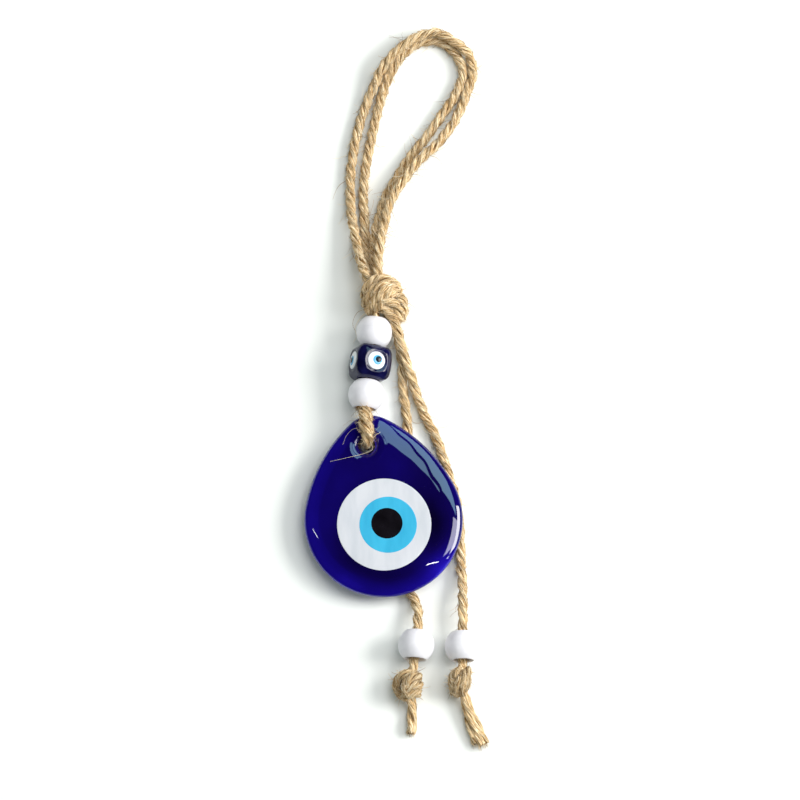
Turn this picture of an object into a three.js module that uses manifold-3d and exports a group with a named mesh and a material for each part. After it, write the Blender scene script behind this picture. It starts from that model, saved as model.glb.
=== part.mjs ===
// Evil eye ornament: a glass teardrop pendant on a doubled jute cord with beads, knots, a loop and two tails.
// The ornament lies flat on its back on the floor. Units are millimetres.
// +Z is up from the floor, +Y runs from the pendant towards the hanging loop, +X is to the right.
import * as THREE from "three";
import Module from "manifold-3d";

const wasm = await Module();
wasm.setup();
const { Manifold, Mesh: SolidMesh } = wasm;

// ---------- driving dimensions ----------
const CORD_D = 3.0;              // loose three-ply jute cord
const SQUEEZED_D = 2.2;          // the same cord where it is squeezed into the bores
const STRAND_SPACING = 2.6;      // distance between the two squeezed strands
const CORD_SIDES = 8;
const GAP = 0.3;                 // gap around an inlaid glass disc

const GLASS_Z = 3.25;            // back face of the pendant, resting on cord
const GLASS_T = 5.4;             // pendant thickness
const GLASS_BIG_R = 26.1;        // round lower end
const GLASS_BIG = [0, -28.35];
const GLASS_SMALL_R = 10.0;      // blunt upper end
const GLASS_SMALL = [-4.0, -3.1];
const GLASS_SIDE_R = 52;         // large arcs down both sides
const GLASS_SHOULDER = 4.5;      // width of the rounded front shoulder
const GLASS_BACK_R = 2.4;        // rounding of the back edge
const HOLE = [-5.6, -3.9];
const HOLE_D = 6.0;
const HOLE_RIM_D = 8.6;          // raised ring round the hole

const EYE = [0.2, -30.6];        // centre of the white disc
const EYE_WHITE_D = 31;
const EYE_IRIS_D = 19;
const EYE_PUPIL_D = 10.4;
const IRIS_SHIFT = [1.3, -0.1];
const PUPIL_SHIFT = [0.9, 0.4];

const BEAD_D = 12;
const BEAD_BORE_D = 6.1;
const BEAD_HALF = BEAD_D * 0.396;          // half the height between the two flats at the poles
const CUBE_W = 11.8;
const CUBE_L = 11.4;             // along the cord
const CUBE_R = 3.0;              // rounding of the cube's corners
const CUBE_TURN = 20;            // degrees the cube is turned about the cord
const CUBE_EYE_D = 6.3;
const CUBE_IRIS_D = 3.4;
const CUBE_PUPIL_D = 2.2;
const CUBE_IRIS_SHIFT = [0.35, 0.2];
const CUBE_PUPIL_SHIFT = [0.6, 0.45];
const STACK_GAP = 0.2;           // gap between stacked beads

// ---------- places that follow from the sizes ----------
const STACK_DIR = new THREE.Vector3(-0.1212, -0.9926, 0).normalize();      // from the knot to the pendant
const STACK_Z = Math.max(6.9, BEAD_D / 2 + 0.1);
const STACK_LENGTH = 4 * BEAD_HALF + 2 * STACK_GAP + CUBE_L;
const STACK_FOOT = [-6.26, 8.94, STACK_Z];                                 // lower end of the lower bead
const STACK_TOP = new THREE.Vector3(...STACK_FOOT).addScaledVector(STACK_DIR, BEAD_HALF - STACK_LENGTH).toArray();
const RISE = STACK_LENGTH - 30.8;                    // the knot and the loop move up when the beads are longer
const SPREAD = BEAD_D / 2 - 6;                       // the tails pass further out beside wider beads
const DROP = GLASS_BIG_R - 26.1;                     // the tails' beads hang clear of a larger pendant
const IN_BORE = Math.min(1.2, (BEAD_BORE_D - CORD_D) / 2 - 0.3);           // the cord lies low in a tail bead's bore
const THREAD_Z = BEAD_D / 2 - IN_BORE;
const UNDER_Z = GLASS_Z - CORD_D / 2 - 0.22;         // a tail's centre height where the pendant lies on it
const LEFT_BEAD = [10.7, -70.5 - DROP, BEAD_D / 2];
const RIGHT_BEAD = [26.0, -70.9 - DROP, BEAD_D / 2];

const LOOP_HINGE = [-4.2, 54.6 + RISE, 6.5];
const STRAND_HINGE = [-2.5, 40.4 + RISE, STACK_Z];
const TAIL_MOUTH = [3.1 + SPREAD, 39.0 + RISE];

// ---------- cord routes: hand-chosen centre points ----------
const raised = ([x, y, z]) => [x, y + RISE, z];
const beside = ([x, y, z]) => [x + SPREAD, y + RISE, z];
const lowered = ([x, y, z]) => [x, y - DROP, z];
const OUTER_LOOP = [
  [-6.2, 55.0, 8.0], [-7.6, 59.2, 6.6], [-9.1, 66.4, 5.0], [-10.5, 73.9, 3.5], [-11.0, 81.0, 2.2],
  [-10.9, 91.6, 1.6], [-9.2, 102.6, 1.6], [-6.3, 113.0, 1.6], [-3.4, 120.0, 2.6], [0.0, 127.0, 4.0],
  [5.4, 133.0, 4.4], [11.1, 136.8, 4.4], [17.2, 138.3, 4.4], [23.6, 135.2, 4.4], [28.3, 130.9, 2.9],
  [29.6, 124.8, 1.7], [27.8, 118.9, 1.6], [24.6, 110.4, 2.6], [18.2, 100.4, 4.6], [11.5, 93.9, 4.8],
  [6.4, 87.3, 4.8], [2.3, 80.4, 4.8], [0.4, 73.5, 5.2], [-1.4, 64.2, 7.1], [-1.9, 55.0, 8.3],
].map(raised);
const INNER_LOOP = [
  [-5.6, 55.0, 4.6], [-6.1, 61.3, 3.2], [-6.2, 67.0, 2.0], [-6.4, 74.3, 1.6], [-6.8, 83.0, 1.6],
  [-6.1, 91.6, 1.6], [-3.7, 104.4, 1.6], [0.0, 119.6, 1.6], [2.8, 126.2, 1.6], [6.9, 132.2, 1.6],
  [12.0, 135.7, 1.6], [17.7, 136.2, 1.6], [22.6, 133.2, 1.6], [25.8, 128.3, 1.6], [26.4, 124.8, 1.6],
  [24.4, 118.6, 1.6], [18.9, 110.0, 1.6], [14.5, 103.5, 1.6], [9.0, 96.4, 1.6], [5.2, 90.4, 1.6],
  [0.5, 82.1, 1.6], [-1.2, 76.2, 2.2], [-3.0, 69.1, 3.9], [-3.2, 62.0, 4.7], [-2.6, 55.0, 4.9],
].map(raised);
const LEFT_TAIL = [
  ...[[2.5, 39.2, 3.6], [4.0, 36.0, 2.9], [4.9, 32.5, 2.3], [5.7, 28.7, 1.9], [6.2, 24.5, 1.6]].map(beside),
  [6.4, 17.0, 1.6], [7.4, 8.8, 1.55], [7.8, 1.0, UNDER_Z], [4.4, -13.6, UNDER_Z], [-0.8, -26.0, UNDER_Z],
  [0.2, -36.0, UNDER_Z],
  ...[[4.8, -45.5, UNDER_Z], [9.4, -53.0, 1.75], [11.1, -58.0, 3.4], [11.2, -62.5, THREAD_Z - 0.2],
    [10.7, -70.5, THREAD_Z], [9.6, -77.9, THREAD_Z]].map(lowered),
];
const RIGHT_TAIL = [
  ...[[3.5, 39.0, 7.4], [4.9, 34.1, 7.3], [5.8, 31.2, 6.7], [7.0, 26.9, 5.5], [8.6, 22.1, 4.0]].map(beside),
  [11.0, 14.6, 2.1], [13.5, 8.1, 1.6], [17.7, -0.7, UNDER_Z], [21.3, -11.9, UNDER_Z], [23.8, -20.4, UNDER_Z],
  [25.2, -32.0, UNDER_Z],
  ...[[25.4, -42.0, 1.75], [25.9, -50.0, 3.6], [26.0, -55.5, THREAD_Z - 0.1], [26.0, -63.0, THREAD_Z],
    [26.0, -70.9, THREAD_Z], [25.8, -77.4, THREAD_Z]].map(lowered),
];
const BIGHT = [
  [-6.2, 8.6, STACK_Z + 1.3], [-6.2, 7.2, 8.7], [-6.1, 5.0, 9.7], [-5.9, 2.6, 10.1], [-5.7, 0.4, 10.2],
  [-5.6, -1.5, 9.75], [-5.6, -3.0, 8.2], [-5.6, -3.6, 5.9], [-5.6, -3.0, 3.4], [-5.6, -1.0, 1.7],
  [-5.7, 1.6, 1.45], [-5.8, 4.2, 1.5], [-6.0, 6.1, 2.15], [-6.1, 7.4, 3.6], [-6.2, 8.25, STACK_Z - 1.95],
  [-6.2, 8.6, STACK_Z - 1.3],
];
const LEFT_KNOT = { at: [8.1, -83.4 - DROP, 4.7], half: [4.9, 5.2, 4.7], turn: 8 };
const RIGHT_KNOT = { at: [25.4, -82.8 - DROP, 4.2], half: [3.9, 5.1, 4.2], turn: -6 };
const LEFT_END = [[9.1, -88.9, 2.6], [9.5, -92.5, 1.75], [9.3, -96.0, 1.7], [8.9, -99.5, 1.7]].map(lowered);
const RIGHT_END = { from: lowered([26.9, -88.2, 2.9]), to: lowered([32.4, -103.6, 1.9]), r0: 1.6, r1: 2.8, flat: 0.66 };

// ---------- colours ----------
const JUTE = 0xc5ab87;
const BEAD_WHITE = 0xf6f5f3;
const COBALT = 0x140b6e;
const NAVY = 0x1a1c44;
const GLASS_WHITE = 0xe2eaee;
const SKY = 0x3fbee5;
const BLACK = 0x121216;

const model = new THREE.Group();
model.name = "evil_eye_ornament";

// ---------- helpers ----------
const radians = (degrees) => (degrees * Math.PI) / 180;

function weld(geometry) {
  const place = geometry.getAttribute("position");
  const seen = new Map();
  const points = [];
  const remap = [];
  for (let i = 0; i < place.count; i += 1) {
    const key = [place.getX(i), place.getY(i), place.getZ(i)].map((v) => Math.round(v * 1e4)).join(",");
    if (!seen.has(key)) {
      seen.set(key, points.length / 3);
      points.push(place.getX(i), place.getY(i), place.getZ(i));
    }
    remap.push(seen.get(key));
  }
  const order = geometry.index ? Array.from(geometry.index.array) : remap.map((_, i) => i);
  const faces = [];
  for (let i = 0; i < order.length; i += 3) {
    const [a, b, c] = [remap[order[i]], remap[order[i + 1]], remap[order[i + 2]]];
    if (a !== b && b !== c && a !== c) {
      faces.push(a, b, c);
    }
  }
  return { points: new Float32Array(points), faces: new Uint32Array(faces) };
}

function solid(geometry) {
  const { points, faces } = weld(geometry);
  return new Manifold(new SolidMesh({ numProp: 3, vertProperties: points, triVerts: faces }));
}

function add(name, shape, colour, roughness = 0.5) {
  const mesh = shape.getMesh();
  const points = new Float32Array((mesh.vertProperties.length / mesh.numProp) * 3);
  for (let i = 0; i < points.length / 3; i += 1) {
    for (let k = 0; k < 3; k += 1) {
      points[3 * i + k] = mesh.vertProperties[mesh.numProp * i + k];
    }
  }
  const geometry = new THREE.BufferGeometry();
  geometry.setAttribute("position", new THREE.BufferAttribute(points, 3));
  geometry.setIndex(Array.from(mesh.triVerts));
  geometry.computeVertexNormals();
  const node = new THREE.Mesh(geometry, new THREE.MeshStandardMaterial({ color: colour, roughness }));
  node.name = name;
  model.add(node);
  return shape;
}

function cordTube(route, diameter, steps) {
  const curve = new THREE.CatmullRomCurve3(route.map((p) => new THREE.Vector3(...p)), false, "centripetal");
  const ring = new THREE.Shape();
  for (let i = 0; i < CORD_SIDES; i += 1) {
    const angle = (i / CORD_SIDES) * 2 * Math.PI;
    const x = (Math.cos(angle) * diameter) / 2;
    const y = (Math.sin(angle) * diameter) / 2;
    if (i === 0) {
      ring.moveTo(x, y);
    } else {
      ring.lineTo(x, y);
    }
  }
  ring.closePath();
  return solid(new THREE.ExtrudeGeometry(ring, { steps, extrudePath: curve, bevelEnabled: false, curveSegments: 1 }));
}

function ellipsoid(centre, half, across = 16, around = 24) {
  const ball = new THREE.SphereGeometry(1, around, across);
  ball.scale(...half);
  ball.translate(...centre);
  return solid(ball);
}

function disc(centre, radius, low, high, segments = 56) {
  const shape = new THREE.CylinderGeometry(radius, radius, high - low, segments);
  shape.rotateX(Math.PI / 2);
  shape.translate(centre[0], centre[1], (low + high) / 2);
  return solid(shape);
}

// Turns a shape made along +Y so that it follows the direction, then moves it to its place.
function placeAlong(shape, direction, centre, roll = 0) {
  const turn = new THREE.Quaternion().setFromUnitVectors(new THREE.Vector3(0, 1, 0), direction);
  const spin = new THREE.Quaternion().setFromAxisAngle(new THREE.Vector3(0, 1, 0), roll);
  const matrix = new THREE.Matrix4().compose(
    new THREE.Vector3(...centre), turn.multiply(spin), new THREE.Vector3(1, 1, 1),
  );
  return shape.transform(Array.from(matrix.elements));
}

// ---------- pendant ----------
// The teardrop outline: two end circles joined by large tangent arcs. An inset shrinks it evenly.
function teardrop(inset, sideSteps = 12) {
  const [bx, by] = GLASS_BIG;
  const [sx, sy] = GLASS_SMALL;
  const big = GLASS_BIG_R - inset;
  const small = GLASS_SMALL_R - inset;
  const side = GLASS_SIDE_R - inset;
  const length = Math.hypot(sx - bx, sy - by);
  const along = [(sx - bx) / length, (sy - by) / length];
  const across = [-along[1], along[0]];
  const near = side - big;
  const far = side - small;
  const t = (near * near - far * far + length * length) / (2 * length);
  const h = Math.sqrt(near * near - t * t);
  const middle = (way) => [bx + along[0] * t - way * across[0] * h, by + along[1] * t - way * across[1] * h];
  const left = middle(1);
  const right = middle(-1);
  const heading = (from, to) => Math.atan2(to[1] - from[1], to[0] - from[0]);
  const arc = (centre, radius, start, end, count) => {
    const stop = end < start ? end + 2 * Math.PI : end;
    return Array.from({ length: count }, (_, i) => {
      const angle = start + ((stop - start) * i) / count;
      return [centre[0] + radius * Math.cos(angle), centre[1] + radius * Math.sin(angle)];
    });
  };
  return [
    ...arc(GLASS_SMALL, small, heading(right, GLASS_SMALL), heading(left, GLASS_SMALL), 14),
    ...arc(left, side, heading(left, GLASS_SMALL), heading(left, GLASS_BIG), sideSteps),
    ...arc(GLASS_BIG, big, heading(left, GLASS_BIG), heading(right, GLASS_BIG), 34),
    ...arc(right, side, heading(right, GLASS_BIG), heading(right, GLASS_SMALL), sideSteps),
  ];
}

// Insets and heights of the pendant's edge, from the back face round to the front face.
function edgeProfile() {
  const rows = [];
  for (let i = 0; i <= 3; i += 1) {
    const angle = (i / 3) * (Math.PI / 2);
    rows.push([GLASS_BACK_R * (1 - Math.sin(angle)), GLASS_Z + GLASS_BACK_R * (1 - Math.cos(angle))]);
  }
  const rise = GLASS_T - GLASS_BACK_R;
  for (let i = 1; i <= 5; i += 1) {
    const angle = (i / 5) * (Math.PI / 2);
    rows.push([GLASS_SHOULDER * (1 - Math.cos(angle)), GLASS_Z + GLASS_BACK_R + rise * Math.sin(angle)]);
  }
  return rows;
}

function pendantBlank() {
  const rings = edgeProfile().map(([inset, z]) => teardrop(inset).map(([x, y]) => [x, y, z]));
  const count = rings[0].length;
  const points = rings.flat(2);
  const faces = [];
  for (let r = 0; r + 1 < rings.length; r += 1) {
    for (let i = 0; i < count; i += 1) {
      const j = (i + 1) % count;
      faces.push(r * count + i, r * count + j, (r + 1) * count + j);
      faces.push(r * count + i, (r + 1) * count + j, (r + 1) * count + i);
    }
  }
  const back = points.length / 3;
  points.push(GLASS_BIG[0], GLASS_BIG[1], rings[0][0][2]);
  const front = back + 1;
  points.push(GLASS_BIG[0], GLASS_BIG[1], rings[rings.length - 1][0][2]);
  const last = (rings.length - 1) * count;
  for (let i = 0; i < count; i += 1) {
    const j = (i + 1) % count;
    faces.push(back, j, i);
    faces.push(front, last + i, last + j);
  }
  const geometry = new THREE.BufferGeometry();
  geometry.setAttribute("position", new THREE.BufferAttribute(new Float32Array(points), 3));
  geometry.setIndex(faces);
  return solid(geometry);
}

function pendant() {
  const front = GLASS_Z + GLASS_T;
  const rim = new THREE.TorusGeometry(HOLE_RIM_D / 2, 0.55, 8, 32);
  rim.translate(HOLE[0], HOLE[1], front - 0.1);
  let glass = pendantBlank().add(solid(rim));
  glass = glass.subtract(disc(HOLE, HOLE_D / 2, 0, 20, 32));
  glass = glass.subtract(disc(EYE, EYE_WHITE_D / 2 + GAP, front - 2.0, 20));
  add("pendant_glass", glass, COBALT, 0.08);

  const iris = [EYE[0] + IRIS_SHIFT[0], EYE[1] + IRIS_SHIFT[1]];
  const pupil = [EYE[0] + PUPIL_SHIFT[0], EYE[1] + PUPIL_SHIFT[1]];
  const white = disc(EYE, EYE_WHITE_D / 2, front - 1.7, front);
  add("pendant_eye_white", white.subtract(disc(iris, EYE_IRIS_D / 2 + GAP, front - 1.2, 20)), GLASS_WHITE, 0.1);
  const blue = disc(iris, EYE_IRIS_D / 2, front - 0.95, front, 48);
  add("pendant_eye_iris", blue.subtract(disc(pupil, EYE_PUPIL_D / 2 + GAP, front - 0.6, 20, 40)), SKY, 0.1);
  add("pendant_eye_pupil", disc(pupil, EYE_PUPIL_D / 2, front - 0.4, front + 0.05, 40), BLACK, 0.1);
}

// ---------- beads ----------
function roundBead() {
  const radius = BEAD_D / 2;
  const bore = BEAD_BORE_D / 2;
  const lip = Math.acos(BEAD_HALF / radius);
  const profile = [new THREE.Vector2(bore, -BEAD_HALF + 0.65)];
  const rows = 9;
  for (let i = 0; i <= rows; i += 1) {
    const angle = Math.PI - lip - ((Math.PI - 2 * lip) * i) / rows;
    profile.push(new THREE.Vector2(radius * Math.sin(angle), radius * Math.cos(angle)));
  }
  profile.push(new THREE.Vector2(bore, BEAD_HALF - 0.65));
  profile.push(profile[0].clone());
  return solid(new THREE.LatheGeometry(profile, 22));
}

function stackCentre(distance) {
  return new THREE.Vector3(...STACK_TOP).addScaledVector(STACK_DIR, distance).toArray();
}

const TO_CUBE = BEAD_HALF + STACK_GAP + CUBE_L / 2;

function roundBeads() {
  const up = STACK_DIR.clone().negate();
  add("upper_bead", placeAlong(roundBead(), up, STACK_TOP), BEAD_WHITE, 0.5);
  add("lower_bead", placeAlong(roundBead(), up, stackCentre(2 * TO_CUBE)), BEAD_WHITE, 0.5);
  const leftUp = new THREE.Vector3(0.07, 1, 0).normalize();
  add("left_tail_bead", placeAlong(roundBead(), leftUp, LEFT_BEAD), BEAD_WHITE, 0.5);
  add("right_tail_bead", placeAlong(roundBead(), new THREE.Vector3(0, 1, 0), RIGHT_BEAD), BEAD_WHITE, 0.5);
}

function roundedBlock() {
  const half = [CUBE_W / 2, CUBE_L / 2, CUBE_W / 2];
  const box = new THREE.BoxGeometry(CUBE_W, CUBE_L, CUBE_W, 7, 7, 7);
  const place = box.getAttribute("position");
  for (let i = 0; i < place.count; i += 1) {
    const point = [place.getX(i), place.getY(i), place.getZ(i)];
    const core = point.map((v, k) => Math.min(Math.max(v, CUBE_R - half[k]), half[k] - CUBE_R));
    const away = new THREE.Vector3(...point.map((v, k) => v - core[k])).normalize().multiplyScalar(CUBE_R);
    place.setXYZ(i, core[0] + away.x, core[1] + away.y, core[2] + away.z);
  }
  return solid(box);
}

// A small disc on the +Z face of the cube, kept in the cube's own frame.
function faceDisc(shift, diameter, low, high, grow = 0) {
  return disc(shift, diameter / 2 + grow, CUBE_W / 2 + low, CUBE_W / 2 + high, 20);
}

function cubeBead() {
  const sides = [["front", 0], ["right", 90], ["back", 180], ["left", 270]];
  const bore = new THREE.CylinderGeometry(BEAD_BORE_D / 2, BEAD_BORE_D / 2, 20, 24);
  let block = roundedBlock().subtract(solid(bore));
  const turned = (shape, degrees) => shape.rotate([0, degrees, 0]);
  const centre = stackCentre(TO_CUBE);
  const up = STACK_DIR.clone().negate();
  const settle = (shape) => placeAlong(shape, up, centre, radians(CUBE_TURN));
  for (const [, degrees] of sides) {
    block = block.subtract(turned(faceDisc([0, 0], CUBE_EYE_D, -0.75, 5, 0.2), degrees));
  }
  add("cube_bead_glass", settle(block), NAVY, 0.08);
  for (const [side, degrees] of sides) {
    const white = faceDisc([0, 0], CUBE_EYE_D, -0.55, 0.3);
    const dished = white.subtract(faceDisc(CUBE_IRIS_SHIFT, CUBE_IRIS_D, -0.3, 5, 0.15));
    add(`cube_eye_white_${side}`, settle(turned(dished, degrees)), GLASS_WHITE, 0.1);
    const blue = faceDisc(CUBE_IRIS_SHIFT, CUBE_IRIS_D, -0.15, 0.4);
    const ringed = blue.subtract(faceDisc(CUBE_PUPIL_SHIFT, CUBE_PUPIL_D, 0.05, 5, 0.12));
    add(`cube_eye_iris_${side}`, settle(turned(ringed, degrees)), SKY, 0.1);
    const dot = faceDisc(CUBE_PUPIL_SHIFT, CUBE_PUPIL_D, 0.2, 0.5);
    add(`cube_eye_pupil_${side}`, settle(turned(dot, degrees)), BLACK, 0.1);
  }
}

// ---------- knots ----------
// The main knot, cut back where the loop, the beads and the tails move against it.
function mainKnot() {
  let knot = ellipsoid([-0.3, 47.45 + RISE, 7.0], [7.6, 7.0, 7.0]);
  knot = knot.add(ellipsoid([4.4, 43.2 + RISE, 6.3], [4.2, 4.8, 5.8], 16, 20));
  const notch = new THREE.CylinderGeometry(4.2, 4.2, 9.6, 20);
  notch.rotateZ(Math.PI / 2);
  notch.translate(LOOP_HINGE[0], LOOP_HINGE[1], LOOP_HINGE[2]);
  knot = knot.subtract(solid(notch));
  for (let lift = 0; lift <= 40; lift += 8) {
    const drop = STRAND_HINGE[1] - STACK_TOP[1];
    const y = STRAND_HINGE[1] - drop * Math.cos(radians(lift));
    const z = STRAND_HINGE[2] + drop * Math.sin(radians(lift));
    const clear = BEAD_D / 2 + 0.4;
    knot = knot.subtract(ellipsoid([STACK_TOP[0], y, z], [clear, clear, clear]));
  }
  const socket = new THREE.CylinderGeometry(3.4, 3.4, 9, 24);
  socket.rotateZ(Math.PI / 2);
  socket.translate(STRAND_HINGE[0], STRAND_HINGE[1], STRAND_HINGE[2]);
  knot = knot.subtract(solid(socket));
  knot = knot.subtract(disc(TAIL_MOUTH, 2.7, 1.6, 9.6, 24));
  add("main_knot", knot, JUTE, 0.95);
}

// A stopper knot: a tight lump with the rounded ridges of the wrapped cord.
function stopperKnot(name, { at, half, turn }) {
  const ball = new THREE.SphereGeometry(1, 20, 14);
  const place = ball.getAttribute("position");
  for (let i = 0; i < place.count; i += 1) {
    const point = new THREE.Vector3(place.getX(i), place.getY(i), place.getZ(i));
    const around = Math.atan2(point.z, point.x);
    const ridge = 1 - 0.07 * (1 - Math.cos(3 * around + 4 * point.y)) * (1 - point.y * point.y);
    place.setXYZ(i, point.x * ridge, point.y, point.z * ridge);
  }
  ball.scale(...half);
  ball.rotateZ(radians(turn));
  ball.translate(...at);
  add(name, solid(ball), JUTE, 0.95);
}

// ---------- cords ----------
function strandThroughBeads(name, side) {
  const offset = (side * STRAND_SPACING) / 2;
  const top = new THREE.Vector3(...stackCentre(-BEAD_HALF - 0.6));
  const bottom = new THREE.Vector3(...stackCentre(2 * TO_CUBE + BEAD_HALF - 2.4));
  const route = [0, 0.5, 1].map((t) => top.clone().lerp(bottom, t).add(new THREE.Vector3(0, 0, offset)).toArray());
  add(name, cordTube(route, SQUEEZED_D, 4), JUTE, 0.95);
}

// The right tail's cut end, spread where the plies have come apart.
function splayedEnd() {
  const { from, to, r0, r1, flat } = RIGHT_END;
  const start = new THREE.Vector3(...from);
  const end = new THREE.Vector3(...to);
  const cone = new THREE.CylinderGeometry(r0, r1, start.distanceTo(end), 12, 3);
  cone.rotateY(Math.PI / 12);
  cone.scale(1, 1, flat);
  const middle = start.clone().add(end).multiplyScalar(0.5).toArray();
  add("right_tail_end", placeAlong(solid(cone), start.clone().sub(end).normalize(), middle), JUTE, 0.95);
}

function cords() {
  add("loop_cord_outer", cordTube(OUTER_LOOP, CORD_D, 46), JUTE, 0.95);
  add("loop_cord_inner", cordTube(INNER_LOOP, CORD_D, 44), JUTE, 0.95);
  strandThroughBeads("bead_cord_front", 1);
  strandThroughBeads("bead_cord_back", -1);
  add("pendant_bight", cordTube(BIGHT, SQUEEZED_D, 30), JUTE, 0.95);
  add("left_tail_cord", cordTube(LEFT_TAIL, CORD_D, 34), JUTE, 0.95);
  add("right_tail_cord", cordTube(RIGHT_TAIL, CORD_D, 34), JUTE, 0.95);
  add("left_tail_end", cordTube(LEFT_END, CORD_D + 0.2, 5), JUTE, 0.95);
  splayedEnd();
}

pendant();
roundBeads();
cubeBead();
mainKnot();
stopperKnot("left_stopper_knot", LEFT_KNOT);
stopperKnot("right_stopper_knot", RIGHT_KNOT);
cords();

export default model;
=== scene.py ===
"""Looks of the evil eye ornament: glass, beads and three-ply jute cord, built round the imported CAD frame.

Everything is in the row frame, in metres: +Z up from the floor, +Y towards the hanging loop, +X to the right.
Shapes are worked out in millimetres and turned into metres when a mesh is made.
"""
import math

import bmesh
import bpy
import numpy as np
from mathutils import Matrix, Vector
from mathutils.geometry import delaunay_2d_cdt


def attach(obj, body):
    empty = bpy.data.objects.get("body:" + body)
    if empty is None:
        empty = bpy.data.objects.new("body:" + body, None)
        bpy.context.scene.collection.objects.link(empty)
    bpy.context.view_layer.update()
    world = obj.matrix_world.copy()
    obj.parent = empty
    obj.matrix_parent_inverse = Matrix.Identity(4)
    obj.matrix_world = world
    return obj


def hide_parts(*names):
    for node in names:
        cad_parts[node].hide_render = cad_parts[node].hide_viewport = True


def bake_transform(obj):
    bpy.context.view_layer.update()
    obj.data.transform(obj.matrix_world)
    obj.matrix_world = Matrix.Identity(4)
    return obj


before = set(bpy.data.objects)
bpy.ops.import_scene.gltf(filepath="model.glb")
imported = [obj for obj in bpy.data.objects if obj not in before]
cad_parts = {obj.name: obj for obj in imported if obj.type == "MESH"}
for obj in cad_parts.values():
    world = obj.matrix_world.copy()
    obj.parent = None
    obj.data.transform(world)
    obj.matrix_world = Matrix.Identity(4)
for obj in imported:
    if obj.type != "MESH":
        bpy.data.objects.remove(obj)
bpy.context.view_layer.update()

MM = 0.001
SEED = 508
VIEW_LEAN = 13.5               # degrees between the viewing direction and straight down

# ---------- driving dimensions, in millimetres, as in the CAD ----------
CORD_D = 3.0
PITCH = 12.5                    # length of one full turn of the three plies
PLY_WAVES = ((3, 0.045), (5, 0.04), (8, 0.05), (11, 0.055))    # ridges round a ply, and how high each is
GLASS_Z = 3.25
GLASS_T = 5.4
GLASS_BIG = (0.0, -28.35)
GLASS_BIG_R = 26.1
GLASS_SMALL = (-4.0, -3.1)
GLASS_SMALL_R = 10.0
GLASS_SIDE_R = 52.0
GLASS_BACK_R = 2.4
GLASS_DOME = 14.0               # the front slopes from this far in down to the edge
DOME_RISE = 0.25                # what the middle stands above the CAD's flat front
DOME_POWER = 2.6                # how squarely the dome rounds off towards the edge
GLASS_INSET = 0.06              # the net of the front stops this far inside the outline
HOLE = (-5.6, -3.9)
HOLE_R = 3.0
HOLE_BACK_R = 1.95              # the hole narrows towards the back, where the cord fills it
HOLE_SHIFT = 1.0
HOLE_POINTS = 96
RIM_RING_R = 5.9                # the low raised ring round the hole
DISH_W = 2.5                    # the dished mouth of the hole
DISH_DEEP = 0.85
EYE_SUNK = 1.6                  # how far the eye's white and iris go down into the glass
EYE = (0.2, -30.6)
IRIS = (1.5, -30.7)
PUPIL = (1.1, -30.2)
EYE_WHITE_R = 15.5
EYE_IRIS_R = 9.5
EYE_PUPIL_R = 5.2
BEAD_R = 6.0
BEAD_BORE_R = 3.05
BEAD_HALF = 4.752
CUBE_W = 11.8
CUBE_L = 11.4
CUBE_R = 2.7
CUBE_TURN = 20.0
STACK_DIR = Vector((-0.1212, -0.9926, 0.0)).normalized()
STACK_FOOT = Vector((-6.26, 8.94, 6.9))
STACK_GAP = 0.2
LEFT_BEAD = Vector((10.7, -70.5, 6.0))
RIGHT_BEAD = Vector((26.0, -70.9, 6.0))

# ---------- cord routes: centre points as in the CAD, carried on into the knots ----------
# Picked by eye, turned into millimetres by a scratch script, then thinned and moved by hand.
OUTER_LOOP = [
    (-3.6, 50.6, 7.6), (-5.2, 53.0, 7.9), (-6.4, 55.4, 7.9), (-7.6, 59.2, 6.6), (-9.1, 66.4, 5.0),
    (-10.5, 73.9, 3.5), (-11.0, 81.0, 2.2), (-10.9, 91.6, 1.6), (-9.2, 102.6, 1.6), (-6.3, 113.0, 1.6),
    (-3.4, 120.0, 2.6), (0.0, 127.0, 4.0), (5.4, 133.0, 4.4), (11.1, 136.8, 4.4), (17.2, 138.3, 4.4),
    (23.6, 135.2, 4.4), (28.3, 130.9, 2.9), (29.6, 124.8, 1.7), (27.8, 118.9, 1.6), (24.6, 110.4, 2.6),
    (18.2, 100.4, 4.6), (11.5, 93.9, 4.8), (6.4, 87.3, 4.8), (2.3, 80.4, 4.8), (0.4, 73.5, 5.2),
    (-1.4, 64.2, 7.1), (-1.9, 56.4, 8.4), (-1.6, 53.0, 8.6), (-1.0, 50.6, 8.0),
]
INNER_LOOP = [
    (-3.4, 50.8, 5.0), (-4.9, 53.0, 4.9), (-5.6, 55.4, 4.6), (-6.1, 61.3, 3.2), (-6.2, 67.0, 2.0),
    (-6.4, 74.3, 1.6), (-6.8, 83.0, 1.6), (-6.1, 91.6, 1.6), (-3.7, 104.4, 1.6), (0.0, 119.6, 1.6),
    (2.8, 126.2, 1.6), (6.9, 132.2, 1.6), (12.0, 135.7, 1.6), (17.7, 136.2, 1.6), (22.6, 133.2, 1.6),
    (25.8, 128.3, 1.6), (26.4, 124.8, 1.6), (24.4, 118.6, 1.6), (18.9, 110.0, 1.6), (14.5, 103.5, 1.6),
    (9.0, 96.4, 1.6), (5.2, 90.4, 1.6), (0.5, 82.1, 1.6), (-1.2, 76.2, 2.2), (-3.0, 69.1, 3.9),
    (-3.2, 62.0, 4.7), (-2.6, 55.0, 4.9), (-1.6, 52.0, 5.2), (-0.8, 50.4, 5.6),
]
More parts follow.
